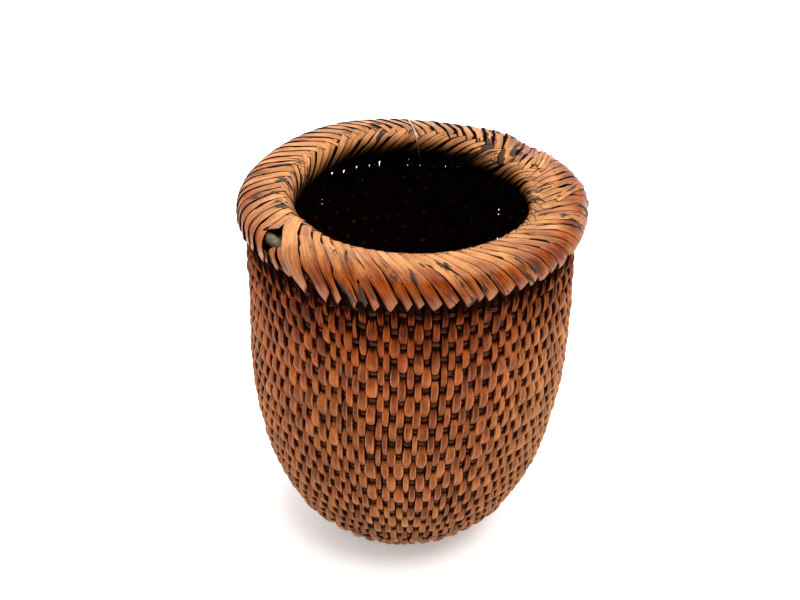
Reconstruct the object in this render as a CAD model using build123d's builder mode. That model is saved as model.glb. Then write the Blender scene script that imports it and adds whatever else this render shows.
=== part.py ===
"""Open-mouthed round willow basket: upright rods woven with twine rows, under a thick wrapped rim.

Millimetres, +Z up. The basket stands on z = 0 and its axis is the Z axis.
Every wall rod lies in its own radial plane: two tangent arcs from the base, then straight up into the rim.
"""

import os
from math import cos, degrees, pi, radians, sin, sqrt

from build123d import *

# ---- driving dimensions -------------------------------------------------------------------------

# Rim: a bundle of hoops inside a skin of wrapped strips
rim_outer_radius = 150.0
rim_inner_radius = 102.0
rim_top = 344.4
rim_height = 30.8
rim_corner_radius = 13.0
strip_thickness = 1.6
strip_count = 72  # right round the rim, on each side of the crest
front_run_start = 206.0  # degrees round from +X, where the strips of the front run begin
front_run_count = 38  # the back run has the rest
strip_gap_angle = 0.35  # degrees left open between neighbouring strips
crest_inset = 9.0  # how far outside the mouth's edge the two sets of strips meet
crest_gap = 0.6
wall_slot_clearance = 0.8  # between the strips' ends and the wall below them

# Wall: rods in radial planes
rod_radius = 2.3
wall_radius = 139.4  # to the rods' centres, in the straight upper wall
base_angle = 33.0  # degrees above the floor, where a rod leaves the base
haunch_angle = 61.0  # degrees above the floor, where the lower arc meets the upper arc
lower_arc_radius = 105.0
upper_arc_radius = 274.0
rod_start_height = 7.75
rod_end_height = 330.0
long_rod_count = 72  # these run from the base to the rim
added_rod_radius = 2.0
added_rod_angle = 58.5  # wall slope where the added rods start, one between each pair of long rods
sector_count = 8

# Twine rows: one ring on each face of the rods
twine_radius = 0.8
twine_pitch = 14.6  # along the rod
twine_row_count = 22
top_twine_height = 303.0
twine_clearance = 0.05

# Base: a flat mat of parallel rods over a flat hoop
hoop_outer_radius = 68.0
hoop_width = 8.0
hoop_thickness = 4.0
mat_radius = 68.0
mat_rod_pitch = 5.4
mat_rod_count = 25
mat_clearance = 0.1
weft_width = 5.0
weft_thickness = 1.3
weft_pitch = 14.6
weft_count = 7
weft_reach_below = 59.0  # the lower wefts stay inside the hoop
weft_reach_above = 62.0  # the upper wefts stay inside the border
border_radius = 66.0
border_rod_radius = 2.0

# A thin wire tied round the rim at the back, in the gap between two strips and between two rods
wire_radius = 0.25
wire_depth = 0.05  # below the strips' outer face
wire_angle = 88.75

# ---- worked-out places --------------------------------------------------------------------------

rim_width = rim_outer_radius - rim_inner_radius
rim_centre_radius = rim_inner_radius + rim_width / 2
rim_centre_height = rim_top - rim_height / 2
rim_bottom = rim_top - rim_height
crest_radius = rim_inner_radius + crest_inset

rise = radians(base_angle)
haunch = radians(haunch_angle)
lower_turn = haunch - rise
upper_turn = pi / 2 - haunch
haunch_radius = wall_radius - upper_arc_radius * (1 - sin(haunch))
rod_start_radius = haunch_radius - lower_arc_radius * (sin(haunch) - sin(rise))
haunch_height = rod_start_height + lower_arc_radius * (cos(rise) - cos(haunch))
shoulder_height = haunch_height + upper_arc_radius * cos(haunch)
lower_arc_length = lower_arc_radius * lower_turn
upper_arc_length = upper_arc_radius * upper_turn

sector_angle = 360 / sector_count
rods_per_sector = long_rod_count // sector_count
rod_pitch_angle = 360 / long_rod_count

mat_height = hoop_thickness + mat_clearance + rod_radius

os.makedirs("parts", exist_ok=True)
made = []


def hand_out(name, builder):
    """Labels a finished sub-part and writes it to its own file."""
    builder.part.label = name
    export_step(builder.part, f"parts/{name}.step")
    made.append((name, len(builder.part.solids()), builder.part.volume))


def wall_point(along):
    """Radius, height and slope (radians) of a rod's centreline, at a length along it from the base."""
    if along < lower_arc_length:
        slope = rise + along / lower_arc_radius
        radius = rod_start_radius + lower_arc_radius * (sin(slope) - sin(rise))
        height = rod_start_height + lower_arc_radius * (cos(rise) - cos(slope))
        return radius, height, slope
    past_haunch = along - lower_arc_length
    if past_haunch < upper_arc_length:
        slope = haunch + past_haunch / upper_arc_radius
        radius = haunch_radius + upper_arc_radius * (sin(slope) - sin(haunch))
        height = haunch_height + upper_arc_radius * (cos(haunch) - cos(slope))
        return radius, height, slope
    return wall_radius, shoulder_height + past_haunch - upper_arc_length, pi / 2


# ---- base ---------------------------------------------------------------------------------------

# Flat hoop that the basket stands on
with BuildPart() as base_hoop:
    with BuildSketch():
        Circle(hoop_outer_radius)
        Circle(hoop_outer_radius - hoop_width, mode=Mode.SUBTRACT)
    extrude(amount=hoop_thickness)
    outer_edges = base_hoop.edges().filter_by(GeomType.CIRCLE).group_by(Axis.Z)[-1]
    fillet(outer_edges, radius=1.2)
hand_out("base_hoop", base_hoop)

# Parallel rods across the bottom, each as long as the circle of the mat allows
with BuildPart() as base_rods:
    for i in range(mat_rod_count):
        offset_y = (i - (mat_rod_count - 1) / 2) * mat_rod_pitch
        half_length = sqrt(mat_radius**2 - (abs(offset_y) + rod_radius) ** 2)
        with BuildSketch(Plane.YZ.offset(-half_length)):
            with Locations((offset_y, mat_height)):
                Circle(rod_radius)
        extrude(amount=2 * half_length)
hand_out("base_rods", base_rods)


def weft_line_places(height, reach):
    """Offset, height and half length of each flat splint that crosses the mat at one height."""
    places = []
    for i in range(weft_count):
        offset_x = (i - (weft_count - 1) / 2) * weft_pitch
        half_length = sqrt(reach**2 - (abs(offset_x) + weft_width / 2) ** 2)
        places.append((offset_x, height, half_length))
    return places


# Flat splints woven across the mat: one under and one over the rods on each line
lower_weft_height = mat_height - rod_radius - mat_clearance - weft_thickness / 2
upper_weft_height = mat_height + rod_radius + mat_clearance + weft_thickness / 2
weft_lines = weft_line_places(lower_weft_height, weft_reach_below)
weft_lines += weft_line_places(upper_weft_height, weft_reach_above)
with BuildPart() as base_wefts:
    for offset_x, height, half_length in weft_lines:
        with BuildSketch(Plane.XZ.offset(-half_length)):
            with Locations((offset_x, height)):
                RectangleRounded(weft_width, weft_thickness, weft_thickness * 0.45)
        extrude(amount=2 * half_length)
hand_out("base_wefts", base_wefts)

# Round border that holds the mat's edge down, inside the feet of the wall rods
with BuildPart() as base_border:
    with BuildSketch(Plane.XZ):
        with Locations((border_radius, mat_height + rod_radius + mat_clearance + border_rod_radius)):
            Circle(border_rod_radius)
    revolve(axis=Axis.Z)
hand_out("base_border", base_border)

# ---- wall rods ----------------------------------------------------------------------------------


def rod_solid(start_slope, section_radius):
    """One rod in the XZ plane, from where the wall has the given slope up into the rim."""
    start_radius, start_height, _ = wall_point(lower_arc_radius * (start_slope - rise))
    heading = (cos(start_slope), sin(start_slope))
    with BuildPart() as rod:
        with BuildLine(Plane.XZ) as route:
            turn = degrees(haunch - start_slope)
            lower = JernArc((start_radius, start_height), heading, lower_arc_radius, turn)
            upper = JernArc(lower @ 1, lower % 1, upper_arc_radius, degrees(upper_turn))
            Line(upper @ 1, (wall_radius, rod_end_height))
        with BuildSketch(Plane(origin=route.line @ 0, z_dir=route.line % 0)):
            Circle(section_radius)
        sweep()
    return rod.part


long_rod = rod_solid(rise, rod_radius)
added_rod = rod_solid(radians(added_rod_angle), added_rod_radius)

for sector in range(sector_count):
    first_angle = sector * sector_angle
    with BuildPart() as long_rods:
        for i in range(rods_per_sector):
            with Locations(Rotation(0, 0, first_angle + i * rod_pitch_angle)):
                add(long_rod)
    hand_out(f"long_rods_{sector + 1:02d}", long_rods)

    with BuildPart() as added_rods:
        for i in range(rods_per_sector):
            with Locations(Rotation(0, 0, first_angle + (i + 0.5) * rod_pitch_angle)):
                add(added_rod)
    hand_out(f"added_rods_{sector + 1:02d}", added_rods)

# ---- twine rows ---------------------------------------------------------------------------------

top_twine_along = lower_arc_length + upper_arc_length + top_twine_height - shoulder_height
face_offset = rod_radius + twine_clearance + twine_radius

for row in range(twine_row_count):
    along = top_twine_along - (twine_row_count - 1 - row) * twine_pitch
    radius, height, slope = wall_point(along)
    with BuildPart() as twine_row:
        for side in (-face_offset, face_offset):
            with BuildSketch(Plane.XZ):
                with Locations((radius + side * sin(slope), height - side * cos(slope))):
                    Circle(twine_radius)
            revolve(axis=Axis.Z)
    hand_out(f"twine_row_{row + 1:02d}", twine_row)

# ---- rim bundle ---------------------------------------------------------------------------------

# Radius, height and section radius of each hoop. The wall rods end between the outer and inner ones.
rim_hoops = {
    "rim_inner_hoop": (112.6, 328.6, 8.4),
    "rim_middle_hoop": (128.5, 328.2, 7.4),
    "rim_top_hoop": (138.8, 336.6, 4.9),
    "rim_outer_hoop": (145.05, 325.0, 2.9),
    "rim_upper_filler": (120.4, 338.6, 3.6),
    "rim_lower_filler": (120.6, 319.0, 3.2),
}
for name, (radius, height, section_radius) in rim_hoops.items():
    with BuildPart() as hoop:
        with BuildSketch(Plane.XZ):
            with Locations((radius, height)):
                Circle(section_radius)
        revolve(axis=Axis.Z)
    hand_out(name, hoop)

# ---- rim wrapping -------------------------------------------------------------------------------

strip_angle = 360 / strip_count
first_strip_angle = (wire_angle + strip_gap_angle / 2) % strip_angle
front_run_first = round((front_run_start - first_strip_angle) / strip_angle)
runs = {
    "front": range(front_run_first, front_run_first + front_run_count),
    "back": range(front_run_first + front_run_count, front_run_first + strip_count),
}
slot_inner = wall_radius - rod_radius - 2 * twine_radius - wall_slot_clearance
slot_outer = wall_radius + rod_radius + wall_slot_clearance
slot_overlap = 0.5  # the cut across the wall ends inside the slot


def wrap_strip(outer_side):
    """One wrapped strip: a thin slice of the rim's skin, on one side of the crest and of the wall."""
    with BuildPart() as strip:
        with BuildSketch(Plane.XZ) as skin:
            with Locations((rim_centre_radius, rim_centre_height)):
                RectangleRounded(rim_width, rim_height, rim_corner_radius)
                RectangleRounded(
                    rim_width - 2 * strip_thickness,
                    rim_height - 2 * strip_thickness,
                    rim_corner_radius - strip_thickness,
                    mode=Mode.SUBTRACT,
                )
            # the wall comes up through the underside
            with Locations(((slot_inner + slot_outer) / 2, rim_bottom)):
                Rectangle(slot_outer - slot_inner, rim_height / 2, mode=Mode.SUBTRACT)
            # take away what lies across the crest above, and across the wall below
            if outer_side:
                cut_above = crest_radius + crest_gap / 2 - rim_width
                cut_below = slot_inner + slot_overlap - rim_width
            else:
                cut_above = crest_radius - crest_gap / 2 + rim_width
                cut_below = slot_outer - slot_overlap + rim_width
            with Locations((cut_above, rim_top), (cut_below, rim_bottom)):
                Rectangle(2 * rim_width, rim_height, mode=Mode.SUBTRACT)
        revolve(axis=Axis.Z, revolution_arc=strip_angle - strip_gap_angle)
    return strip.part


for side_name, outer_side in (("outer", True), ("inner", False)):
    strip = wrap_strip(outer_side)
    for run_name, strip_numbers in runs.items():
        with BuildPart() as strips:
            for i in strip_numbers:
                with Locations(Rotation(0, 0, first_strip_angle + i * strip_angle)):
                    add(strip)
        hand_out(f"rim_{side_name}_strips_{run_name}", strips)

# ---- tie wire -----------------------------------------------------------------------------------

# A closed loop round the rim's section, passing between two rods under the rim
wire_inset = wire_depth + wire_radius
with BuildPart() as tie_wire:
    with BuildLine(Plane.XZ) as loop:
        FilletPolyline(
            (rim_inner_radius + wire_inset, rim_bottom + wire_inset),
            (rim_outer_radius - wire_inset, rim_bottom + wire_inset),
            (rim_outer_radius - wire_inset, rim_top - wire_inset),
            (rim_inner_radius + wire_inset, rim_top - wire_inset),
            radius=rim_corner_radius - wire_inset,
            close=True,
        )
    with BuildSketch(Plane(origin=loop.line @ 0, z_dir=loop.line % 0)):
        Circle(wire_radius)
    sweep()
with BuildPart() as tie_wire_in_place:
    with Locations(Rotation(0, 0, wire_angle)):
        add(tie_wire.part)
hand_out("tie_wire", tie_wire_in_place)

for name, solids, volume in made:
    print(f"{name}: {solids} solids, {volume:.0f} mm3")
print(f"{len(made)} nodes; rods start at radius {rod_start_radius:.1f}, haunch {haunch_height:.1f}")
print(f"straight wall from {shoulder_height:.1f}")
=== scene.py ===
import math

import bpy
import numpy as np
from mathutils import Matrix, Vector


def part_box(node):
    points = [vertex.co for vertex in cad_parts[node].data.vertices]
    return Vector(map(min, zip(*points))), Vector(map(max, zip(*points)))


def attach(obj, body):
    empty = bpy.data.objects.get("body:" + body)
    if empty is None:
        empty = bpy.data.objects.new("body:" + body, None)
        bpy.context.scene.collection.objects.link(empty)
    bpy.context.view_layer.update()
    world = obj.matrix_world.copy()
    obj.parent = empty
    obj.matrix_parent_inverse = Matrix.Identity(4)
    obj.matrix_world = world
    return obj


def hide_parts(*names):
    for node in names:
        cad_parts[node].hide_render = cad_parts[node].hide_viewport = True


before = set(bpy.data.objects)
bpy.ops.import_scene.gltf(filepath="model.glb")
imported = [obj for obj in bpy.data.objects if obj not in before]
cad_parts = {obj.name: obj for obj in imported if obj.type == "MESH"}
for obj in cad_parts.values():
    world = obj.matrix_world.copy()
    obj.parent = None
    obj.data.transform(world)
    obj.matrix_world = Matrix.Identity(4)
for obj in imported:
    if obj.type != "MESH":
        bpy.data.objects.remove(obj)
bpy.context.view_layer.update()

MM = 0.001
TURN = 2 * math.pi
rng = np.random.default_rng(7)

# ---- shape of the basket, in millimetres, as in the CAD model ----

# Wall: rods in radial planes, along two tangent arcs and then straight up
wall_radius = 139.4
rise = math.radians(33.0)
haunch = math.radians(61.0)
lower_arc_radius = 105.0
upper_arc_radius = 274.0
rod_start_height = 7.75
rod_end_height = 329.0
haunch_radius = wall_radius - upper_arc_radius * (1 - math.sin(haunch))
rod_start_radius = haunch_radius - lower_arc_radius * (math.sin(haunch) - math.sin(rise))
haunch_height = rod_start_height + lower_arc_radius * (math.cos(rise) - math.cos(haunch))
shoulder_height = haunch_height + upper_arc_radius * math.cos(haunch)
lower_arc_length = lower_arc_radius * (haunch - rise)
upper_arc_length = upper_arc_radius * (math.pi / 2 - haunch)
rod_length = lower_arc_length + upper_arc_length + rod_end_height - shoulder_height

# Rods and twine rows
rod_count = 144
sector_count = 8
rods_per_sector = rod_count // sector_count
twine_pitch = 14.6
twine_row_count = 22
top_twine_height = 303.0
top_twine_along = lower_arc_length + upper_arc_length + top_twine_height - shoulder_height
row_along = top_twine_along - twine_pitch * np.arange(twine_row_count - 1, -1, -1)
first_full_row = 3  # rows are counted from 0 at the base: the added rods are in from this one up

# Rim: two runs of strips round a bundle of hoops
rim_centre_radius = 126.0
rim_centre_height = 329.0
rim_face_radius = 148.0  # of its front face
rim_under_radius = 146.0
strip_count = 72
strip_angle_step = TURN / strip_count
front_run_start = 206.0  # degrees
front_run_count = 38


def wall_point(along):
    """Radius, height and slope of the wall's middle surface, at lengths along it from the base."""
    along = np.asarray(along, float)
    lower = np.clip(along, None, lower_arc_length)
    upper = np.clip(along - lower_arc_length, 0, upper_arc_length)
    straight = np.clip(along - lower_arc_length - upper_arc_length, 0, None)
    low_slope = rise + lower / lower_arc_radius
    slope = low_slope + upper / upper_arc_radius
    radius = rod_start_radius + lower_arc_radius * (np.sin(low_slope) - math.sin(rise))
    height = rod_start_height + lower_arc_radius * (math.cos(rise) - np.cos(low_slope))
    up_slope = haunch + upper / upper_arc_radius
    radius = radius + upper_arc_radius * (np.sin(up_slope) - math.sin(haunch))
    height = height + upper_arc_radius * (math.cos(haunch) - np.cos(up_slope)) + straight
    return radius, height, slope


def bump(value, centre, width):
    """A smooth rise to 1 at a centre."""
    return np.exp(-(((value - centre) / width) ** 2))


def rounded(value, power):
    """A sine or cosine, squared up to make a rounded box of a circle."""
    return np.sign(value) * np.abs(value) ** power


def held(value):
    """A value kept between 0 and 1."""
    return np.clip(value, 0, 1)


def eased(share):
    """A share from 0 to 1, slow at both ends."""
    return (1 - np.cos(math.pi * share)) / 2


def round_basket(angle):
    """Unit vectors outwards and anticlockwise, at angles round the axis."""
    outward = np.stack([np.cos(angle), np.sin(angle), 0 * angle], -1)
    onward = np.stack([-np.sin(angle), np.cos(angle), 0 * angle], -1)
    return outward, onward


def raised(outward, reach, height):
    """Points at a reach along level unit vectors, and at a height."""
    points = outward * np.expand_dims(reach, -1)
    points[..., 2] = height
    return points


def settle(points):
    """The hand-made lean and unevenness that all of the basket shares.

    The wall swells in slow waves and is a little slimmer low down, and the basket leans left
    towards its foot. The rim and the foot keep their round shape.
    """
    x, y, z = points[:, 0], points[:, 1], points[:, 2]
    angle = np.arctan2(y, x)
    radius = np.hypot(x, y)
    share = held(radius / wall_radius) ** 2
    share *= 1 - 0.8 * held((z - 285) / 25)  # little at the rim
    swell = 0.8 * np.sin(2 * angle + 0.9) + 0.5 * np.sin(3 * angle + 2.1 + z / 90)
    swell += 0.45 * np.sin(5 * angle + z / 60) - 2.4 * bump(z, 135, 40)
    swell *= share * held(z / 40)
    scale = 1 + swell / np.maximum(radius, 1)
    low = 1 - held(z / rim_centre_height)
    points[:, 0] = x * scale - 3.6 * low + 2.2 * bump(z, 235, 60)
    points[:, 1] = y * scale
    points[:, 2] = z + 0.7 * share * np.sin(2 * angle + 0.4) * held(z / 200)
    return points


# ---- mesh helpers ----


def add_object(name, data):
    thing = bpy.data.objects.new(name, data)
    bpy.context.scene.collection.objects.link(thing)
    return thing


class MeshParts:
    """Gathers points, faces and point attributes of several closed shapes into one mesh."""

    def __init__(self):
        self.points = []
        self.faces = []
        self.layers = {"fibre": [], "dirt_and_shade": [], "worn": []}
        self.count = 0

    def add(self, points, faces, fibre, dirt_and_shade, worn=0.5):
        """fibre is the place along and across the fibres and a seed; the next two are shades: dirt
        together with painted shade, and wear.
        """
        shape = points.shape[:-1]
        self.points.append(points.reshape(-1, 3))
        self.layers["fibre"].append(np.stack(np.broadcast_arrays(*fibre), -1).reshape(-1, 3))
        self.layers["dirt_and_shade"].append(np.broadcast_to(dirt_and_shade, shape).ravel())
        self.layers["worn"].append(np.broadcast_to(worn, shape).ravel())
        for group in faces:
            self.faces.append(group + self.count)
        self.count += math.prod(shape)

    def piece(self, name, material, slot, *nodes):
        """Makes the mesh object from smooth-shaded faces, and hides the CAD nodes that it replaces."""
        points = settle(np.concatenate(self.points)) * MM
        mesh = bpy.data.meshes.new(name)
        mesh.vertices.add(len(points))
        mesh.vertices.foreach_set("co", points.astype(np.float32).ravel())
        sizes = np.concatenate([np.full(len(g), g.shape[1]) for g in self.faces])
        corners = np.concatenate([g.ravel() for g in self.faces])
        starts = np.concatenate([[0], np.cumsum(sizes)[:-1]])
        mesh.loops.add(len(corners))
        mesh.loops.foreach_set("vertex_index", corners.astype(np.int32))
        mesh.polygons.add(len(sizes))
        mesh.polygons.foreach_set("loop_start", starts.astype(np.int32))
        mesh.polygons.foreach_set("use_smooth", np.ones(len(sizes), bool))
        for word, layer in self.layers.items():
            kind, key = ("FLOAT_VECTOR", "vector") if word == "fibre" else ("FLOAT", "value")
            values = np.concatenate(layer).astype(np.float32).ravel()
            mesh.attributes.new(word, kind, "POINT").data.foreach_set(key, values)
        mesh.update(calc_edges=True)
        mesh.validate()
        mesh.materials.append(material)
        piece = add_object(name, mesh)
        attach(piece, "root")
        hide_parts(*nodes)


def tube_faces(rings, around, closed=False):
    """Quads between rings of points, with a fan of triangles over each end unless it is a loop."""
    last = rings if closed else rings - 1
    i, j = np.meshgrid(np.arange(last), np.arange(around), indexing="ij")
    here, there = i * around, ((i + 1) % rings) * around
    nxt = (j + 1) % around
    quads = np.stack([here + j, here + nxt, there + nxt, there + j], -1).reshape(-1, 4)
    if closed:
        return [quads]
    fan = np.arange(1, around - 1)
    first = np.stack([np.zeros_like(fan), fan + 1, fan], -1)
    end = (rings - 1) * around
    final = np.stack([np.full_like(fan, end), end + fan, end + fan + 1], -1)
    return [quads, np.concatenate([first, final])]


def tube(parts, centres, side, up, half_width, half_depth, seed, dirt_and_shade, around, closed=False):
    """A tube of oval section. Its depth is the same all along; the rest may be given by centre."""
    n = len(centres)
    turn = np.arange(around) * TURN / around
    side = np.broadcast_to(side, (n, 3))
    up = np.broadcast_to(up, (n, 3))
    half_width = np.broadcast_to(half_width, n)
    points = (
        centres[:, None, :]
        + side[:, None, :] * (half_width[:, None] * np.cos(turn))[..., None]
        + up[:, None, :] * (half_depth * np.sin(turn))[..., None]
    )
    along = np.concatenate([[0], np.cumsum(np.linalg.norm(np.diff(centres, axis=0), axis=1))])
    fibre = (along[:, None], half_width[:, None] * np.abs(turn - math.pi), seed)
    parts.add(points, tube_faces(n, around, closed), fibre, np.reshape(dirt_and_shade, (-1, 1)))


# ---- materials ----


class Nodes:
    """A short way to write a shader's nodes."""

    def __init__(self, name):
        self.material = bpy.data.materials.new(name)
        self.material.use_nodes = True
        self.tree = self.material.node_tree
        self.shader = self.tree.nodes["Principled BSDF"]

    def add(self, kind, inputs=None, **settings):
        node = self.tree.nodes.new("ShaderNode" + kind)
        for key, value in settings.items():
            setattr(node, key, value)
        for key, value in (inputs or {}).items():
            self.put(value, node.inputs[key])
        return node

    def put(self, value, socket):
        if isinstance(value, bpy.types.NodeSocket):
            self.tree.links.new(value, socket)
        else:
            socket.default_value = value

    def attribute(self, name, output):
        return self.add("Attribute", attribute_name=name).outputs[output]

    def maths(self, operation, a, b, clamp=False):
        return self.add("Math", {0: a, 1: b}, operation=operation, use_clamp=clamp).outputs[0]

    def times(self, value, size):
        return self.maths("MULTIPLY", value, size)

    def swing(self, value, size):
        """A value from 0 to 1, turned into a swing about 0."""
        return self.times(self.maths("SUBTRACT", value, 0.5), size)

    def blend(self, a, share_a, b, share_b):
        return self.maths("ADD", self.times(a, share_a), self.times(b, share_b))

    def place(self):
        """Where each point is on the object, in metres."""
        return self.add("TexCoord").outputs["Object"]

    def scaled(self, vector, scale):
        return self.add("VectorMath", {0: vector, 1: scale}, operation="MULTIPLY").outputs[0]

    def noise(self, vector, scale, detail, roughness=0.55, distortion=0.0):
        inputs = {"Vector": vector, "Scale": scale, "Detail": detail, "Roughness": roughness}
        return self.add("TexNoise", {**inputs, "Distortion": distortion}).outputs["Fac"]

    def range(self, value, low, high, out_low=0.0, out_high=1.0):
        """Goes smoothly from out_low to out_high as the value goes from low to high."""
        ends = {"From Min": low, "From Max": high, "To Min": out_low, "To Max": out_high}
        node = self.add("MapRange", {"Value": value, **ends}, interpolation_type="SMOOTHSTEP")
        return node.outputs["Result"]

    def mix(self, factor, a, b, blend="MIX"):
        # the inputs and the output that a mix of colours uses
        node = self.add("Mix", {0: factor, 6: a, 7: b}, data_type="RGBA", blend_type=blend)
        return node.outputs[2]

    def ramp(self, value, stops):
        node = self.add("ValToRGB", {"Fac": value})
        while len(node.color_ramp.elements) < len(stops):
            node.color_ramp.elements.new(0.5)
        for element, (place, colour) in zip(node.color_ramp.elements, stops):
            element.position = place
            element.color = (*colour, 1.0)
        return node.outputs["Color"]

    def tinted(self, colour, tint):
        return self.mix(1.0, colour, tint, "MULTIPLY")

    def bump(self, height, strength, distance):
        inputs = {"Height": height, "Strength": strength, "Distance": distance}
        return self.add("Bump", inputs).outputs["Normal"]

    def finish(self, colour, roughness, normal, specular=0.5):
        self.put(colour, self.shader.inputs["Base Color"])
        self.put(roughness, self.shader.inputs["Roughness"])
        self.put(normal, self.shader.inputs["Normal"])
        self.put(specular, self.shader.inputs["Specular IOR Level"])
        return self.material


def willow_rod_material(name, stops, knot_and_shade_colour, worn_tone):
    """Aged willow rod: fibre streaks, blotches, knots, painted shade in the crevices and paler worn
    edges.
    """
    n = Nodes(name)
    fibre = n.attribute("fibre", "Vector")
    dirt_and_shade = n.attribute("dirt_and_shade", "Fac")
    blotch = n.noise(n.scaled(fibre, (0.045, 0.10, 1.0)), 1.0, 3.0)
    streak = n.noise(n.scaled(fibre, (0.10, 1.6, 1.0)), 1.0, 4.0, 0.6)
    speck = n.noise(n.scaled(fibre, (0.7, 1.1, 1.0)), 1.0, 2.0)
    worn = n.attribute("worn", "Fac")
    tone = n.maths("ADD", n.blend(blotch, 0.65, streak, 0.35), n.swing(worn, 0.22))
    colour = n.ramp(n.range(tone, 0.33, 0.67), stops)
    place = n.add("SeparateXYZ", {"Vector": n.place()}).outputs
    # redder towards the rim; paler near the foot and on the right side, as a painted reflection of the
    # white surroundings and painted light from the right
    redder = n.tinted(colour, (1.04, 0.82, 0.52, 1))
    colour = n.mix(n.range(place["Z"], 0.15, 0.30), colour, redder)
    reflection_paled = n.tinted(colour, (0.99, 1.25, 1.45, 1))
    reflection_paling = n.maths("MAXIMUM", n.range(place["Z"], 0.13, 0.04), n.range(place["X"], 0.045, 0.115))
    colour = n.mix(reflection_paling, colour, reflection_paled)
    knot = n.range(speck, 0.38, 0.30)
    colour = n.mix(n.times(knot, 0.85), colour, (*knot_and_shade_colour, 1))
    edge = n.range(n.maths("ADD", dirt_and_shade, n.times(speck, 0.25)), 0.10, -0.20)
    colour = n.mix(n.times(edge, 0.75), colour, (*worn_tone, 1))
    # painted shade, with some streaky dirt: darker in the crevices, on the inner face and under the
    # rim
    shade_and_grime = n.range(n.maths("ADD", dirt_and_shade, n.swing(streak, 0.9)), 0.12, 0.62)
    colour = n.mix(shade_and_grime, colour, (*knot_and_shade_colour, 1))
    roughness = n.maths("ADD", n.range(blotch, 0.3, 0.7, 0.40, 0.58), n.times(shade_and_grime, 0.3))
    height = n.blend(streak, 0.6, speck, 0.5)
    shine = n.range(shade_and_grime, 0.0, 1.0, 0.12, 0.03)
    n.put(n.range(shade_and_grime, 0.0, 0.4, 0.22, 0.0), n.shader.inputs["Sheen Weight"])
    n.shader.inputs["Sheen Tint"].default_value = (1.0, 0.80, 0.62, 1.0)
    return n.finish(colour, roughness, n.bump(height, 0.55, 0.0007), shine)


def strip_material(name):
    """Flat peeled willow skin: long fibres, flaked dark patches, pits, and a worn gloss."""
    n = Nodes(name)
    fibre = n.attribute("fibre", "Vector")
    dirt_and_shade = n.attribute("dirt_and_shade", "Fac")
    blotch = n.noise(n.scaled(fibre, (0.035, 0.09, 1.0)), 1.0, 3.0, 0.6)
    streak = n.noise(n.scaled(fibre, (0.035, 1.1, 1.0)), 1.0, 4.0, 0.6)
    fine = n.noise(n.scaled(fibre, (0.12, 3.2, 1.0)), 1.0, 3.0, 0.6)
    speck = n.noise(n.scaled(fibre, (1.2, 2.0, 1.0)), 1.0, 2.0)
    flake = n.noise(n.scaled(fibre, (0.035, 0.13, 1.7)), 1.0, 5.0, 0.62, 0.4)
    cluster = n.noise(n.place(), 20.0, 2.0)
    flake = n.blend(flake, 0.62, cluster, 0.38)
    tone = n.blend(blotch, 0.6, streak, 0.4)
    colour = n.ramp(
        n.range(tone, 0.32, 0.68),
        [
            (0.0, (0.15, 0.038, 0.006)),
            (0.35, (0.34, 0.108, 0.021)),
            (0.7, (0.51, 0.197, 0.049)),
            (1.0, (0.64, 0.30, 0.10)),
        ],
    )
    # deep orange on the front face, and paler where the top is worn
    worn = n.maths("ADD", n.attribute("worn", "Fac"), n.swing(streak, 1.1), True)
    deep = n.tinted(colour, (0.60, 0.31, 0.03, 1))
    pale_top = n.mix(0.24, colour, (0.74, 0.45, 0.25, 1))
    colour = n.mix(worn, deep, pale_top)
    scuff = n.range(fine, 0.60, 0.72)
    colour = n.mix(n.times(scuff, 0.3), colour, (0.66, 0.34, 0.14, 1))
    pit = n.range(speck, 0.35, 0.28)
    colour = n.mix(n.times(pit, 0.8), colour, (0.08, 0.024, 0.008, 1))
    pale_tip = n.range(dirt_and_shade, 0.0, -0.35)
    colour = n.mix(n.times(pale_tip, 0.35), colour, (0.50, 0.29, 0.18, 1))
    bare = n.range(flake, 0.575, 0.595)
    bare_tone = n.ramp(fine, [(0.3, (0.022, 0.013, 0.009)), (0.7, (0.11, 0.075, 0.055))])
    colour = n.mix(bare, colour, bare_tone)
    # painted shade: near-black where strips lie in shadow under their neighbours and the rim, with
    # streaky grime
    shade_and_grime = n.range(n.maths("ADD", dirt_and_shade, n.swing(streak, 0.7)), 0.25, 0.70)
    colour = n.mix(shade_and_grime, colour, (0.010, 0.003, 0.0015, 1))
    roughness = n.maths("ADD", n.range(blotch, 0.3, 0.7, 0.22, 0.36), n.times(bare, 0.3))
    roughness = n.maths("ADD", roughness, n.times(shade_and_grime, 0.35))
    height = n.blend(streak, 0.7, fine, 0.25)
    height = n.maths("SUBTRACT", height, n.times(bare, 0.6))
    height = n.maths("SUBTRACT", height, n.times(pit, 0.4))
    shine = n.range(shade_and_grime, 0.0, 1.0, 0.19, 0.02)
    return n.finish(colour, roughness, n.bump(height, 0.6, 0.0008), shine)


def twine_material(name):
    """Brown twisted twine, lighter in patches, with painted shade in the grooves of its twist."""
    n = Nodes(name)
    fibre = n.attribute("fibre", "Vector")
    around = n.scaled(fibre, (1.0, 1.2, 0.0))
    twist = n.add("TexWave", {"Vector": around, "Scale": 0.6}).outputs["Fac"]
    patch = n.noise(n.scaled(fibre, (0.08, 0.3, 1.0)), 1.0, 3.0)
    colour = n.ramp(
        n.range(patch, 0.35, 0.68),
        [(0.0, (0.060, 0.015, 0.004)), (0.5, (0.17, 0.050, 0.015)), (1.0, (0.36, 0.135, 0.048))],
    )
    # painted shade in the grooves of the twist
    colour = n.tinted(colour, n.range(twist, 0.2, 0.8, 0.45, 1.0))
    return n.finish(colour, 0.65, n.bump(twist, 0.6, 0.0005), 0.3)


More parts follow.
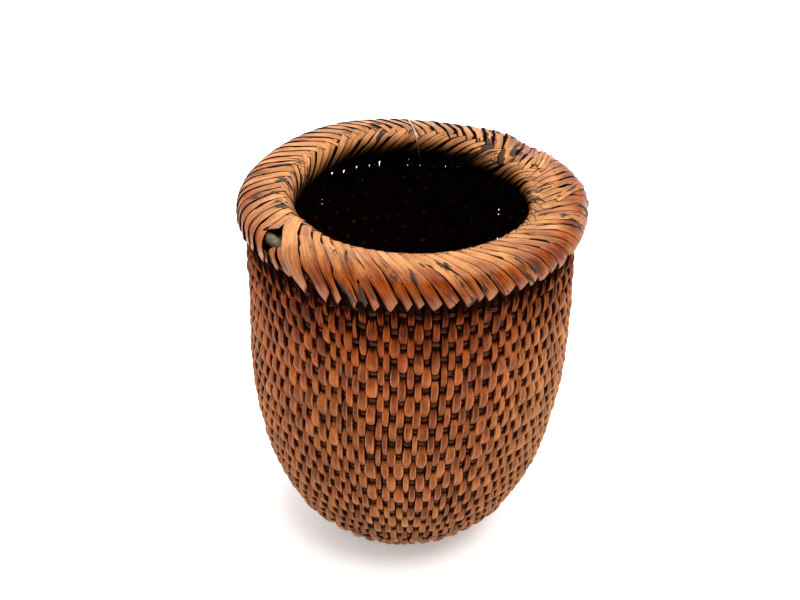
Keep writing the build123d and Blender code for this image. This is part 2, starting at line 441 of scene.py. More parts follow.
def core_material(name):
    """Unpeeled grey-green willow of the hoops inside the rim."""
    n = Nodes(name)
    place = n.place()
    patch = n.noise(place, 60.0, 4.0)
    grain = n.noise(n.scaled(place, (1.0, 1.0, 6.0)), 220.0, 3.0)
    colour = n.ramp(
        n.range(patch, 0.3, 0.7),
        [(0.0, (0.03, 0.020, 0.013)), (0.6, (0.10, 0.075, 0.047)), (1.0, (0.20, 0.165, 0.11))],
    )
    colour = n.mix(n.range(grain, 0.55, 0.7), colour, (0.06, 0.04, 0.03, 1))
    # painted shade where they show between the strips' ends, under the rim
    height = n.add("SeparateXYZ", {"Vector": place}).outputs["Z"]
    colour = n.mix(n.range(height, 0.3262, 0.329, 0.9, 0.0), colour, (0.012, 0.006, 0.003, 1))
    return n.finish(colour, 0.65, n.bump(grain, 0.5, 0.0008), 0.3)


def wire_material(name):
    """Thin bright wire, dulled in places."""
    n = Nodes(name)
    patch = n.noise(n.place(), 400.0, 2.0)
    colour = n.ramp(patch, [(0.35, (0.55, 0.53, 0.50)), (0.65, (0.88, 0.87, 0.85))])
    n.shader.inputs["Metallic"].default_value = 0.85
    return n.finish(colour, 0.3, n.bump(patch, 0.3, 0.0002))


def floor_material(name):
    """Plain white paper with the faintest tooth."""
    n = Nodes(name)
    tooth = n.noise(n.place(), 300.0, 2.0)
    colour = n.ramp(tooth, [(0.3, (0.93, 0.93, 0.93)), (0.7, (0.95, 0.95, 0.95))])
    n.put(colour, n.shader.inputs["Emission Color"])
    n.shader.inputs["Emission Strength"].default_value = 0.30
    return n.finish(colour, 0.9, n.bump(tooth, 0.05, 0.0002), 0.1)


rod_stops = [
    (0.0, (0.115, 0.025, 0.003)),
    (0.35, (0.20, 0.049, 0.008)),
    (0.7, (0.30, 0.084, 0.017)),
    (1.0, (0.42, 0.142, 0.038)),
]
base_stops = [
    (0.0, (0.07, 0.026, 0.011)),
    (0.5, (0.14, 0.056, 0.024)),
    (1.0, (0.26, 0.125, 0.060)),
]
rod_finish = willow_rod_material("willow_rod", rod_stops, (0.024, 0.004, 0.0008), (0.60, 0.29, 0.13))
base_finish = willow_rod_material("base_willow", base_stops, (0.010, 0.005, 0.003), (0.34, 0.19, 0.11))
strip_finish = strip_material("willow_skin")
twine_finish = twine_material("twine")
core_finish = core_material("core_rod")
wire_finish = wire_material("wire")

# ---- camera and light ----

view_tilt = 0.56  # radians above level
view_distance = 1269.9
view_target = Vector((-9.0, 0.0, 230.7))
view_roll = 0.01
sun_direction = (0.22, -0.04, 1.0)
sun_strength = 2.6
sun_width = 55.0  # degrees, as wide as a large soft panel
sun_colour = (1.0, 0.985, 0.96)
floor_half = 40.0  # so wide that its edge never shows


def add_camera():
    back = Vector((0.0, -math.cos(view_tilt), math.sin(view_tilt)))
    right = Vector((1.0, 0.0, 0.0))
    up = Vector((0.0, math.sin(view_tilt), math.cos(view_tilt)))
    across = right * math.cos(view_roll) + up * math.sin(view_roll)
    upright = up * math.cos(view_roll) - right * math.sin(view_roll)
    camera = bpy.data.cameras.new("camera")
    camera.sensor_width = 36.0
    camera.lens = 63.0
    camera.clip_start = 0.01
    camera.clip_end = 50.0
    eye = add_object("camera", camera)
    turn = Matrix((across, upright, back)).transposed()
    eye.matrix_world = Matrix.Translation((view_target + back * view_distance) * MM) @ turn.to_4x4()
    bpy.context.scene.camera = eye


def add_sun():
    """A soft light from above."""
    light = bpy.data.lights.new("overhead", "SUN")
    light.energy = sun_strength
    light.angle = math.radians(sun_width)
    light.color = sun_colour
    lamp = add_object("overhead", light)
    lamp.rotation_euler = Vector(sun_direction).to_track_quat("Z", "Y").to_euler()


def add_floor():
    mesh = bpy.data.meshes.new("floor")
    half = floor_half
    corners = [(-half, -half, 0), (half, -half, 0), (half, half, 0), (-half, half, 0)]
    mesh.from_pydata(corners, [], [(0, 1, 2, 3)])
    mesh.materials.append(floor_material("floor"))
    floor = add_object("floor", mesh)


def add_world():
    """White studio walls all round, dimmer in front, where the photographer stands."""
    world = bpy.data.worlds.new("studio")
    world.use_nodes = True
    tree = world.node_tree
    place = tree.nodes.new("ShaderNodeTexCoord")
    split = tree.nodes.new("ShaderNodeSeparateXYZ")
    shade = tree.nodes.new("ShaderNodeMapRange")
    tree.links.new(place.outputs["Generated"], split.inputs[0])
    tree.links.new(split.outputs["Y"], shade.inputs["Value"])
    shade.interpolation_type = "SMOOTHSTEP"
    for key, value in {"From Min": -1.0, "From Max": 0.5, "To Min": 0.30, "To Max": 1.00}.items():
        shade.inputs[key].default_value = value
    sky = tree.nodes["Background"]
    sky.inputs["Color"].default_value = (1.0, 1.0, 1.0, 1.0)
    tree.links.new(shade.outputs["Result"], sky.inputs["Strength"])
    bpy.context.scene.world = world


add_camera()
add_floor()
add_world()
add_sun()
bpy.context.scene.view_settings.view_transform = "Standard"
bpy.context.scene.view_settings.look = "Medium High Contrast"

# ---- wall rods ----

rod_half_depth = 3.2
rod_sway = 1.45  # how far the twine pushes a rod in and out
rod_step = 1.9  # between the rings of points along a rod
rod_width = np.exp(rng.normal(0, 0.20, rod_count))  # beside the mean
rod_width = np.clip(rod_width, 0.70, 1.42)
for first in range(0, rod_count, rods_per_sector):
    group = slice(first, first + rods_per_sector)
    rod_width[group] *= rods_per_sector / rod_width[group].sum()
rod_centre = np.cumsum(rod_width) - rod_width / 2
rod_angle = (rod_centre - rod_centre[0]) * TURN / rod_count
rod_is_long = np.arange(rod_count) % 2 == 0
rod_start = np.where(rod_is_long, -6.5, rng.uniform(32.0, 44.0, rod_count))
rod_seed = rng.uniform(0, 500, rod_count)
sway_phase = rng.uniform(0, TURN, rod_count)
row_shift = rng.normal(0, 0.65, (rod_count, twine_row_count))  # the twine sits a little high or low
swelling = rng.normal(0, 1, (rod_count, twine_row_count))  # how fat each exposed length is
paleness = rng.normal(0, 1, (rod_count, twine_row_count))
rod_tone = rng.normal(0, 0.07, rod_count)
droop = rng.normal(-0.8, 1.2, (rod_count, twine_row_count))  # where it is fattest


def twine_in_front(rod, row):
    """True where a row's twine passes outside this rod, and so pinches it inwards."""
    if row < first_full_row:
        return (rod // 2 + row) % 2 == 0
    return (rod + row) % 2 == 0


def rows_in_front(rod):
    return np.array([twine_in_front(rod, row) for row in range(twine_row_count)])


def row_places(rod):
    """Lengths along the wall where the rows cross one rod, with their long slow waves."""
    rows = np.arange(twine_row_count)
    wave = 1.5 * np.sin(rod_angle[rod] * 2 + rows * 0.35)
    wave += 0.9 * np.sin(rod_angle[rod] * 5 + rows * 0.8)
    uneven = row_shift[rod] * (1 + 1.2 * (rows > twine_row_count - 3))
    return row_along + (wave + uneven) * held(rows / 4)


def rod_turn(rod, along):
    """Where a rod is round the basket, at lengths along it. Neighbours wander together."""
    radius, _, _ = wall_point(along)
    wander = 1.1 * np.sin(3 * rod_angle[rod] + along / 62)
    wander = wander + 0.6 * np.sin(along / 44 + sway_phase[rod])
    return rod_angle[rod] + wander / radius


def rod_shape(rod, along):
    """Offset outwards, half width, outer and inner half depths, and pinch, along a rod.

    A rod is pinched where twine passes over it, and swells into a belly where it passes under it.
    """
    rows = row_places(rod)
    front = rows_in_front(rod)
    state = np.where(front, -1.0, 1.0)
    place = np.interp(along, rows, np.arange(twine_row_count))
    before = np.clip(np.floor(place).astype(int), 0, twine_row_count - 2)
    share = held(place - before)
    sway = state[before] + (state[before + 1] - state[before]) * eased(share)
    gap = along[:, None] - rows[None, :]
    pinch_front = (np.exp(-((gap / 3.2) ** 4)) * front).sum(1)
    pinch_back = (np.exp(-((gap / 3.1) ** 4)) * ~front).sum(1)
    plump = 1 + 0.5 * swelling[rod]
    belly = (np.exp(-(np.abs((gap - droop[rod]) / 9.0) ** 2.4)) * ~front * plump).sum(1)
    belly = np.where(along > rows[-1] + 3, 0.3, belly)  # under the rim
    radius, _, _ = wall_point(along)
    pitch = TURN * radius / rod_count * rod_width[rod]
    if rod_is_long[rod]:
        # it fills its neighbours' room below where the added rods start
        alone = held((46.0 - along) / 14.0)
        pitch = pitch * (1 + 0.85 * alone)
    width = pitch * 0.5 * (0.83 + 0.38 * belly)
    width *= 1 - 0.24 * pinch_front - 0.04 * pinch_back
    depth = rod_half_depth * (0.72 + 0.28 * rod_width[rod])
    depth_out = depth * (0.94 + 0.14 * belly) * (1 - 0.50 * pinch_front)
    depth_in = depth * (1 - 0.30 * pinch_back)
    top = held((along - row_along[-2]) / 10)
    width *= 1 - 0.22 * top
    tip = held((along - rod_start[rod]) / 14.0)
    taper = np.ones_like(along) if rod_is_long[rod] else 0.22 + 0.78 * np.sqrt(tip)
    return rod_sway * sway, width * taper, depth_out * taper, depth_in * taper, pinch_front


# A rod's section: a rounded box with its points listed round it
section_turn = np.radians([0, 24, 48, 70, 90, 110, 132, 156, 180, 216, 252, 288, 324])
section_points = len(section_turn)
section_side = rounded(np.cos(section_turn), 0.62)
section_out = rounded(np.sin(section_turn), 0.72)


def add_rod(parts, rod):
    along = np.arange(rod_start[rod], rod_length, rod_step)
    offset, width, depth_out, depth_in, pinch = rod_shape(rod, along)
    radius, height, slope = wall_point(along)
    angle = rod_turn(rod, along)
    twist = 0.10 * np.sin(along / 31 + sway_phase[rod] * 3)
    depth = np.where(section_out > 0, depth_out[:, None], depth_in[:, None])
    # the inner half is wider than the outer, so that little light comes through the wall
    wide = 1.76 - 0.10 * held((along - row_along[-4]) / 10)
    wide = (wide + 0.5 * held((70 - along) / 30))[:, None]
    spread = np.where(section_out < 0, wide, 1.0)
    top = held((along - row_along[-1] - 4) / 6)[:, None]
    side = width[:, None] * section_side * (spread + (1 - spread) * top)
    out = offset[:, None] + depth * section_out + twist[:, None] * side
    reach = radius[:, None] + out * np.sin(slope)[:, None]
    z = height[:, None] - out * np.cos(slope)[:, None]
    outward, onward = round_basket(angle[:, None])
    points = raised(outward, reach, z) + onward * side[..., None]
    fibre = (along[:, None], side + 9.0 * (section_out < 0), rod_seed[rod])
    # painted shade, with some dirt, gathers under the twine, down the sides and on the inner face; the
    # edges are worn pale
    inner = np.clip(-2 * section_out, 0, 0.85)
    flank = held((0.72 - np.abs(section_out)) / 0.3)
    edge = bump(np.abs(section_side), 0.85, 0.12) * (section_out > 0.4)
    dirt_and_shade = 0.75 * pinch[:, None] + 0.62 * flank + inner - 0.38 * edge * (1 - pinch[:, None])
    # painted shadow of the rim, over the rods under it and the upper wall below
    under_rim = held((along - row_along[-1] + 4) / 16)[:, None]
    shaded = held((along - row_along[-5]) / 44)[:, None]
    dirt_and_shade = np.clip(dirt_and_shade + 0.55 * under_rim + 0.34 * shaded, -0.4, 1.2)
    # painted shade: each exposed length is darker at its top, where the twine shades it
    rows = row_places(rod)
    upper = (bump(along[:, None] - rows, 10.8, 3.0) * ~rows_in_front(rod)).sum(1)[:, None]
    dirt_and_shade = dirt_and_shade + 0.34 * upper
    worn = 0.5 + 0.15 * np.interp(along, rows, paleness[rod]) + rod_tone[rod]
    parts.add(points, tube_faces(len(along), section_points), fibre, dirt_and_shade, worn[:, None])


for sector in range(sector_count):
    for kind, want_long in (("long_rods", True), ("added_rods", False)):
        parts = MeshParts()
        for rod in range(sector * rods_per_sector, (sector + 1) * rods_per_sector):
            if rod_is_long[rod] == want_long:
                add_rod(parts, rod)
        node = f"{kind}_{sector + 1:02d}"
        parts.piece(f"woven_{node}", rod_finish, "willow_rod", node)

# ---- twine rows ----

strand_radius = 0.72
strand_spread = 1.22
strand_count = 3
strand_clearance = strand_radius * 0.8
steps_between_rods = 4


def add_twine_row(parts, row):
    """Three thin strands side by side, passing over one rod and under the next."""
    rods = [rod for rod in range(rod_count) if rod_is_long[rod] or row >= first_full_row]
    angles, offsets, places = [], [], []
    for rod in rods:
        place = row_places(rod)[row]
        shape = rod_shape(rod, np.array([place]))
        offset, depth_out, depth_in = shape[0][0], shape[2][0], shape[3][0]
        if twine_in_front(rod, row):
            offsets.append(offset + depth_out + strand_clearance)
        else:
            offsets.append(offset - depth_in - strand_clearance)
        angles.append(rod_turn(rod, place))
        places.append(place)
    angles = np.array(angles + [angles[0] + TURN])
    offsets = np.array(offsets + [offsets[0]])
    places = np.array(places + [places[0]])
    share = np.arange(steps_between_rods) / steps_between_rods
    angle = (angles[:-1, None] + np.diff(angles)[:, None] * share).ravel()
    offset = (offsets[:-1, None] + np.diff(offsets)[:, None] * eased(share)).ravel()
    place = (places[:-1, None] + np.diff(places)[:, None] * share).ravel()
    for strand in range(strand_count):
        shift = (strand - (strand_count - 1) / 2) * strand_spread
        radius, height, slope = wall_point(place + shift)
        wander = 0.18 * np.sin(angle * 31 + strand * 2.1 + row)
        reach = radius + (offset + wander) * np.sin(slope)
        z = height - (offset + wander) * np.cos(slope)
        outward, onward = round_basket(angle)
        centres = raised(outward, reach, z)
        normal = raised(outward, np.sin(slope), -np.cos(slope))
        upward = np.cross(normal, onward)
        seed = row * 13.0 + strand * 5.0
        tube(parts, centres, upward, normal, strand_radius, strand_radius, seed, 0.0, 6, True)


for row in range(twine_row_count):
    parts = MeshParts()
    add_twine_row(parts, row)
    node = f"twine_row_{row + 1:02d}"
    parts.piece(f"woven_{node}", twine_finish, "twine", node)

# ---- rim strips ----

# The skin's section: a rounded box, measured along its outline from the crest, outwards first
section_half_width = 23.4
section_half_height = 14.4
section_power = 2.9
crest_offset = -15.0  # the outer and inner strips meet this far inwards of the middle
outline_turn = np.linspace(0, TURN, 2001)
outline_x = rounded(np.sin(outline_turn), 2 / section_power) * section_half_width
outline_z = rounded(np.cos(outline_turn), 2 / section_power) * section_half_height
outline_along = np.hypot(np.diff(outline_x), np.diff(outline_z))
outline_along = np.concatenate([[0], np.cumsum(outline_along)])
outline_length = outline_along[-1]
top_crest = (outline_z > 0) & (outline_turn > math.pi)
crest_along = np.interp(crest_offset, outline_x[top_crest], outline_along[top_crest])
normal_step = 0.6


def underside_along(radius):
    """The outline length where the section's underside is at a radius of the basket."""
    lower = outline_z < 0
    return np.interp(rim_centre_radius - radius, -outline_x[lower], outline_along[lower])


# The strips end at the wall, on its outside and its inside
outer_length = underside_along(142.8) - (crest_along - outline_length)
inner_length = crest_along - underside_along(135.2)


def outline_point(length):
    length = np.mod(length, outline_length)
    return np.interp(length, outline_along, outline_x), np.interp(length, outline_along, outline_z)


def rim_section(along):
    """Place on the skin's section and its outward normal, at lengths outwards from the crest."""
    length = np.mod(np.asarray(along) + crest_along, outline_length)
    x, z = outline_point(length)
    ahead_x, ahead_z = outline_point(length + normal_step)
    behind_x, behind_z = outline_point(length - normal_step)
    dx = ahead_x - behind_x
    dz = ahead_z - behind_z
    size = np.hypot(dx, dz)
    return x, z, -dz / size, dx / size


def rim_swell(angle):
    """How much fatter the rim is at each angle. It is thinnest at the right."""
    thin = bump(np.mod(np.degrees(angle), 360), 344.0, 20.0)
    even = 0.012 * (1 + np.sin(3 * angle + 0.6)) + 0.008 * (1 + np.sin(7 * angle + 1.9))
    return 1 + even - 0.065 * thin


def rim_rise(angle, x):
    """How far the rim is lifted at each angle, at x across it: most at the back left."""
    degrees = np.degrees(np.mod(angle, TURN))
    back = bump(degrees, 122, 26)
    right = bump(np.mod(degrees + 180, 360), 184, 20)
    dip = bump(degrees, 40, 9)
    inside = 0.5 - 0.5 * np.tanh(x / 9)
    lift = 5.0 * back + 3.2 * right - 2.2 * dip
    return lift + 4.0 * bump(degrees, 88, 42) * inside


def rim_place(angle, along, lift):
    """Reach and height on the rim, from the angle, outline length, and height off the skin."""
    x, z, nx, nz = rim_section(along)
    fat = rim_swell(angle)
    reach = rim_centre_radius + x * fat + nx * lift
    return reach, rim_centre_height + z * fat + nz * lift + rim_rise(angle, x)


def strip_points(angle, along, lift):
    reach, height = rim_place(angle, along, lift)
    return raised(round_basket(angle)[0], reach, height)


# Places across a strip, from its covered edge to its raised one
strip_across = np.array([-1.0, -0.86, -0.68, -0.46, -0.15, 0.25, 0.64, 0.88, 1.0])


def narrowing(travelled, slots):
    """How much of a strip's half width is missing along it, from its list of slots."""
    missing = np.zeros_like(travelled)
    for low, high, cut in slots:
        inside = held((travelled - low) / 4) * held((high - travelled) / 4)
        missing = np.maximum(missing, cut * inside)
    return missing


def strip_run(start_angle, start, end, slant):
    """The middle line of a strip: outline lengths, angles, and distance travelled."""
    length = abs(end - start) * math.hypot(1, slant)
    share = np.linspace(0, 1, max(8, int(length / 2.0)))
    along = start + (end - start) * share
    x, _, _, _ = rim_section(along)
    turn = slant * np.abs(np.gradient(along)) / (rim_centre_radius + x)
    angle = start_angle + np.concatenate([[0], np.cumsum((turn[1:] + turn[:-1]) / 2)])
    return along, angle, share * length


def add_strip(parts, start_angle, start, end, slant, width, tilt, seed, lift, slots=(),
              before=None, skew=0.0, start_dip=0.0, end_lift=0.0, darkening=0.0, shade_below=0.0,
              shade_back=0.0, hang=0.0):
    """One flat strip laid on the rim, from one outline length to another.

    slant is how far it moves round the rim for each millimetre of outline. tilt raises the edge
    that faces anticlockwise, so that each strip lies over the next. lift raises it all, and
    start_dip and end_lift lower its start and raise its end. slots are the lengths where the
    raised edge is cut back. before is the start angle, slant and width of the strip that lies
    over this one, which sets where its painted shadow falls on this strip. skew slopes the far
    end, to leave a pointed tooth, and hang lets it down. Three darkening amounts follow end_lift:
    the first darkens it all, the second paints shade towards its end, and the third paints shade
    at the back of the basket.
    """
    along, angle, travelled = strip_run(start_angle, start, end, slant)
    length = travelled[-1]
    direction = 1.0 if end > start else -1.0
    norm = math.hypot(1, slant)
    from_start = held(travelled / 2.5)
    narrow = 0.7 + 0.3 * np.sqrt(1 - (1 - from_start) ** 2)
    wave = 1 + 0.05 * np.sin(travelled / 9 + seed) + 0.03 * np.sin(travelled / 3.7 + seed * 1.7)
    across = strip_across[None, :]
    grid = across * (width / 2 * narrow * wave)[:, None]
    grid = grid * (1 - narrowing(travelled, slots)[:, None] * 1.7 * (across > 0))
    slide = -skew * grid * held(1 - (length - travelled) / 24)[:, None]
    point_along = along[:, None] + direction * (slide - grid * slant) / norm
    px, _, _, _ = rim_section(point_along)
    point_angle = angle[:, None] + (grid + slide * slant) / norm / (rim_centre_radius + px)
    to_end = (length - travelled)[:, None]
    rise_up = lift + tilt * across + 0.40 * (1 - across**2)
    rise_up = rise_up - start_dip * held(1 - travelled[:, None] / 11) ** 1.3
    rise_up = rise_up + end_lift * held(1 - to_end / 15) ** 1.4
    rise_up = rise_up + 0.12 * np.sin(travelled[:, None] / 6.3 + seed * 2.3 + across)
    top = strip_points(point_angle, point_along, rise_up + 0.5)
    bottom = strip_points(point_angle, point_along, rise_up - 0.5 + 0.3 * across**6)
    let_down = hang * held(1 - to_end / 20) ** 1.5
    top[..., 2] -= let_down
    bottom[..., 2] -= let_down
    ring = np.concatenate([top, bottom[:, ::-1]], axis=1)
    fibre = (travelled[:, None], np.concatenate([grid, grid[:, ::-1] + 20], axis=1), seed)
    # painted shadow where the strip comes out from under the one before it, paler at its tip
    under = np.zeros_like(grid)
    if before is not None:
        angle_before, slant_before, width_before = before
        reach = rim_centre_radius + rim_section(along)[0]
        pitch = (start_angle - angle_before) * reach + (slant - slant_before) * (along - start)
        shown = ((width_before / 2 - pitch / norm) / (width / 2))[:, None] + 0.03
        shown = shown + 0.07 * np.sin(travelled[:, None] / 5 + seed * 3)
        under = held((shown - across) / 0.08 + 0.5)
    # painted shade along its own raised edge, most on the right side of the basket
    far_side = held(np.cos(angle) / 0.4)[:, None]
    rim_edge = 0.5 * (across > 0.95) + 0.6 * far_side * held((across - 0.72) / 0.25)
    tip = held(1 - to_end / 9) * (end_lift > 0)
    face = np.maximum(0.95 * under, rim_edge) - 0.35 * tip * (1 - under) + darkening
    face = face + shade_below * held((travelled[:, None] - 18) / 34)
    back = bump(np.degrees(np.mod(angle, TURN)), 88.0, 55.0)[:, None]
    face = face + shade_back * back
    # its underside is painted fully shaded
    dirt_and_shade = np.concatenate([face, np.full(grid.shape, 1.0)], axis=1)
    # the crest is worn pale, most widely at the left lap
    left = 10.0 * bump(np.degrees(angle), 218.0, 26.0)
    worn = held(1 - (np.abs(along) - 16 - left) / 26) + 0.25 * np.sin(seed * 9)
    faces = tube_faces(len(along), ring.shape[1])
    if direction > 0:
        faces = [group[:, ::-1] for group in faces]
    parts.add(ring, faces, fibre, dirt_and_shade, held(worn)[:, None])


inner_slant = 1.20
outer_width = 13.4
inner_width = 8.8
outer_start = -7.0
inner_start = 6.5
fold_along = outer_length - 8.7
hole_end = 27.0  # where the strip by the left lap is broken off
broken_strips = 352.0  # degrees, at the right
left_side = 540.0  # degrees, as the back run counts them
start_jitter = 0.004
run_start = math.radians(front_run_start)


def outer_slant(angle):
    """The outer strips lean most just after the left lap."""
    return 0.74 + 0.42 * bump(np.degrees(angle), front_run_start, 30.0)


def strip_start(number):
    """The angle where a strip starts: the first few of the front run stand further apart."""
    spread = 0.0
    if number < front_run_count:
        spread = 0.15 * (1 - math.exp(-number / 5)) * (1 - number / front_run_count)
    return run_start + number * strip_angle_step + spread


def random_slots(length):
    """Most strips touch the next, and some leave a dark slot."""
    if rng.random() > 0.40:
        return []
    low = rng.uniform(4, length - 24)
    return [(low, low + rng.uniform(14, 34), rng.uniform(0.04, 0.15))]


def add_outer_strips(parts, first, last):
    before = None
    for number in range(first, last):
        since_lap = number - first
        angle = strip_start(number) + rng.normal(0, start_jitter)
        slots = random_slots(66)
        lift = 0.0
        if since_lap < 4:
            slots = [(9.0, 44.0 - 3 * since_lap, 0.11)]
            lift = 1.8 - 0.45 * since_lap
        if abs(math.degrees(angle) - broken_strips) < 6:
            slots = [(30.0, 58.0, 0.22)]
        fold = fold_along + rng.normal(0, 0.7)
        if number == strip_count - 1:
            fold = hole_end
        slant = outer_slant(angle) * rng.uniform(0.95, 1.05)
        wide = 1 + 0.16 * bump(math.degrees(angle), 228.0, 22.0)
        width = outer_width * wide * rng.uniform(0.94, 1.08)
        skew = 0.30 + rng.normal(0, 0.08)
        stand = 3.0 - 2.2 * bump(math.degrees(angle), left_side, 35.0)
        foot = math.degrees(angle + slant * (fold - outer_start) / rim_face_radius)
        hang = 7.5 * bump(foot, 252.0, 15.0) + 3.2 * bump(foot, 280.0, 15.0) + rng.normal(0, 0.4)
        tilt = rng.uniform(0.62, 0.85) * wide**2
        # painted shade darkens these strips at the back of the basket
        add_strip(parts, angle, outer_start, fold, slant, width, tilt, rng.uniform(0, 400), lift,
                  slots, before, skew, 1.6, stand, shade_back=0.36, hang=hang)
        before = (angle, slant, width)


def add_lap_strips(parts):
    """The last strips of the back run, where they go on under the front run."""
    for i in range(5):
        start = 45.0 - 7.0 * min(i, 3)
        slant = 0.74 + 0.03 * i
        angle = run_start + (i - 1) * strip_angle_step
        angle = angle + slant * (start - outer_start) / rim_face_radius
        lift = -0.6 - 0.12 * i
        add_strip(parts, angle, start, fold_along - 1, slant, 9.6 + i, 0.5, 60.0 * i, lift,
                  [(4.0, 30.0, 0.16)], None, 0.3, 0.5, 0.6, darkening=0.12)


def add_folded_ends(parts, first, last):
    """The strips' ends, turned back under the rim to the wall."""
    for number in range(first, last):
        angle = strip_start(number)
        angle = angle + outer_slant(angle) * (fold_along - outer_start) / rim_under_radius
        # painted shade: the turned-back ends are darkened nearly to black, under the rim
        add_strip(parts, angle, fold_along - 1.0, outer_length + 2, -0.9, 11.0, 0.5, number * 5.0,
                  -0.9, darkening=0.85)


def add_inner_strips(parts, first, last):
    before = None
    for number in range(first, last):
        since_lap = number - first
        angle = run_start + (number + 0.5) * strip_angle_step + rng.normal(0, start_jitter)
        lift = max(0.0, 1.6 - 0.5 * since_lap)
        width = inner_width * rng.uniform(0.92, 1.12)
        slant = inner_slant * rng.uniform(0.95, 1.05)
        # painted shade down the inner face towards the bottom, and at the back
        add_strip(parts, angle, inner_start, -inner_length, slant, width, rng.uniform(0.5, 0.8),
                  rng.uniform(0, 400), lift, [], before, 0.0, 1.4, shade_below=0.7, shade_back=0.16)
        before = (angle, slant, width)


def add_slivers(parts, degrees, start, end, slant, count, lift):
    """Thin split ends of strips that stand clear at a lap."""
    for i in range(count):
        angle = math.radians(degrees + 2.1 * i + rng.normal(0, 0.4))
        add_strip(parts, angle, start + rng.normal(0, 2), end + rng.normal(0, 2), slant,
                  rng.uniform(2.2, 3.6), 0.15, rng.uniform(0, 400), lift + 0.4 * (i % 2), darkening=0.1)


for run_name, (first, last) in {
    "front": (0, front_run_count),
    "back": (front_run_count, strip_count),
}.items():
    outer = MeshParts()
    inner = MeshParts()
    add_outer_strips(outer, first, last)
    add_folded_ends(outer, first, last)
    add_inner_strips(inner, first, last)
    if run_name == "back":
        add_lap_strips(outer)
    else:
        add_slivers(outer, 14.0, 8.0, 34.0, 1.3, 5, 1.4)
        add_slivers(outer, 349.0, 14.0, 44.0, 1.5, 3, 1.6)
    outer.piece(f"wrap_outer_{run_name}", strip_finish, "willow_skin", f"rim_outer_strips_{run_name}")
    inner.piece(f"wrap_inner_{run_name}", strip_finish, "willow_skin", f"rim_inner_strips_{run_name}")


packing_start = 222.0  # degrees, just past the hole
packing_span = 350.0
packing_depth = 1.45


def add_packing():
    """The dark packing just under the strips, open at the hole by the left lap; its near-black is
    partly its own dark bast and partly painted shade in the slots between strips.
    """
    parts = MeshParts()
    angle = np.radians(np.arange(packing_start, packing_start + packing_span, 1.5))
    along = np.linspace(0, outline_length, 60, endpoint=False)[::-1]
    around, turn = np.meshgrid(along, angle)
    lumps = 0.15 * np.sin(turn * 90) + 0.1 * np.sin(around / 4 + turn * 30)
    points = strip_points(turn, around, lumps - packing_depth)
    x, z, _, _ = rim_section(around)
    # its underside isn't lifted with the rim, so that it still covers the hoops
    points[..., 2] -= 0.9 * rim_rise(turn, x) * held(-z / 10)
    fibre = (turn * rim_under_radius, around, 900.0)
    # painted shade together with its own dark colour: near-black where it shows between strips
    parts.add(points, tube_faces(len(angle), len(along)), fibre, 0.9)
    parts.piece("packing", strip_finish, "willow_skin", "rim_upper_filler", "rim_lower_filler")


add_packing()

# ---- rim hoops: the CAD shapes stay, with their own finish ----

for name in ("rim_inner_hoop", "rim_middle_hoop", "rim_top_hoop", "rim_outer_hoop"):
    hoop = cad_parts[name]
    hoop.data.materials.clear()
    hoop.data.materials.append(core_finish)

# ---- tie wire ----

wire_angle = math.radians(88.75)
wire_radius = 0.25


def add_tie_wire():
    """Thin wire round the rim at the back, twisted once on the crest."""
    parts = MeshParts()
    along = np.linspace(-inner_length, outer_length, 90)
    _, _, nx, nz = rim_section(along)
    for strand, phase in ((0, 0.0), (1, math.pi)):
        twist = np.exp(-((along / 9) ** 2))
        swing = 0.45 * np.cos(along * 0.9 + phase) * twist + 0.25 * np.sin(along / 11 + phase)
        lift = 1.9 + 0.35 * np.sin(along * 0.9 + phase) * twist
        reach, height = rim_place(wire_angle, along, lift)
        turn = wire_angle + (swing + 0.25 * along + 0.5 * np.sin(along / 5)) / reach
        outward, onward = round_basket(turn)
        centres = raised(outward, reach, height)
        normal = raised(outward, nx, nz)
        tube(parts, centres, onward, normal, wire_radius, wire_radius, strand, 0.0, 6)
    parts.piece("wire_round_rim", wire_finish, "wire", "tie_wire")


add_tie_wire()

# ---- base ----

mat_low, mat_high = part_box("base_rods")
mat_height = (mat_low.z + mat_high.z) / 2 / MM
mat_rod_radius = (mat_high.z - mat_low.z) / 2 / MM
mat_radius = mat_high.x / MM
mat_rod_pitch = 5.4
mat_rod_count = 25
weft_pitch = 14.6
weft_count = 7
weft_swing = 2.75
weft_half_width = 1.5
weft_half_depth = 0.6
upper_weft_reach = 62.0
lower_weft_reach = 59.0
hoop_radius = 64.0
hoop_corners = 120
border_radius = 66.0
border_height = 10.8
border_strand_radius = 1.05
border_strand_offset = 0.95
border_turns = 24


def add_mat_rods():
    parts = MeshParts()
    for i in range(mat_rod_count):
        y = (i - (mat_rod_count - 1) / 2) * mat_rod_pitch
        half = math.sqrt(mat_radius**2 - (abs(y) + mat_rod_radius) ** 2)
        along = np.arange(-half, half, 3.0)
        side_width = 2.92 + 0.2 * np.sin(along / 7 + i * 1.3)
        sway = 0.35 * np.cos(math.pi * (along / weft_pitch + i % 2))
        centres = np.stack([along, y + 0.3 * np.sin(along / 23 + i), mat_height + sway], -1)
        dirt_and_shade = 0.25 + 0.15 * np.sin(along / 11 + i)
        tube(parts, centres, (0, 1, 0), (0, 0, 1), side_width, mat_rod_radius, i * 17.0, dirt_and_shade, 10)
    parts.piece("mat_rods", base_finish, "base_willow", "base_rods")


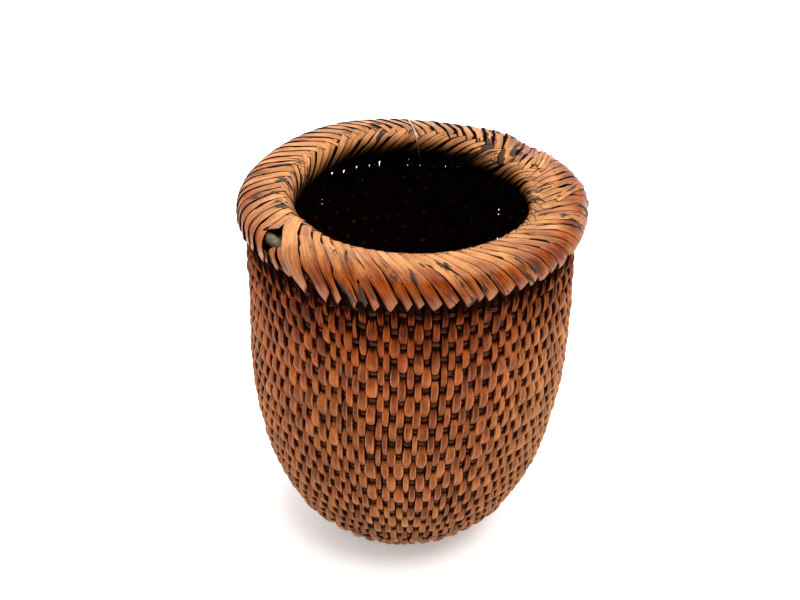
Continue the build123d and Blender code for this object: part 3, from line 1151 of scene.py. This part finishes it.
def add_mat_wefts():
    """Flat splints in pairs, woven over and under the mat's rods."""
    parts = MeshParts()
    for i in range(weft_count):
        x = (i - (weft_count - 1) / 2) * weft_pitch
        for start, reach in enumerate((upper_weft_reach, lower_weft_reach)):
            half = math.sqrt(reach**2 - (abs(x) + 2.5) ** 2)
            along = np.arange(-half, half, 1.2)
            place = along / mat_rod_pitch + start + (mat_rod_count - 1) / 2
            swing = weft_swing * np.tanh(1.8 * np.cos(math.pi * place)) / math.tanh(1.8)
            across = np.full_like(along, x + (start - 0.5) * 3.2)
            centres = np.stack([across, along, mat_height + swing], -1)
            tube(parts, centres, (1, 0, 0), (0, 0, 1), weft_half_width, weft_half_depth,
                 300 + i * 11.0 + start, 0.3, 8)
    parts.piece("mat_wefts", base_finish, "base_willow", "base_wefts")


def add_flat_hoop():
    """The hoop under the mat, which the basket stands on."""
    parts = MeshParts()
    angle = np.arange(hoop_corners) * TURN / hoop_corners
    section = np.array([(-4, 0.35), (-3.6, 0), (3.4, 0), (3.9, 0.4), (4, 2.6), (3.2, 3.8),
                        (0, 4.0), (-3.4, 3.8), (-4, 3.0)])
    outward = round_basket(angle)[0][:, None, :]
    ring = raised(outward, hoop_radius + section[:, 0], section[:, 1])
    fibre = ((angle * hoop_radius)[:, None], section[:, 0] + section[:, 1], 611.0)
    faces = [group[:, ::-1] for group in tube_faces(hoop_corners, len(section), True)]
    parts.add(ring, faces, fibre, 0.2)
    parts.piece("flat_hoop", base_finish, "base_willow", "base_hoop")


def add_border():
    """Two thin rods twisted round each other."""
    parts = MeshParts()
    angle = np.arange(360) * TURN / 360
    outward = round_basket(angle)[0]
    for phase in (0.0, math.pi):
        twist = angle * border_turns + phase
        reach = border_radius + border_strand_offset * np.cos(twist)
        centres = raised(outward, reach, border_height + border_strand_offset * np.sin(twist))
        tube(parts, centres, outward, (0, 0, 1), border_strand_radius, border_strand_radius,
             700 + phase, 0.25, 8, True)
    parts.piece("twisted_border", base_finish, "base_willow", "base_border")


add_mat_rods()
add_mat_wefts()
add_flat_hoop()
add_border()
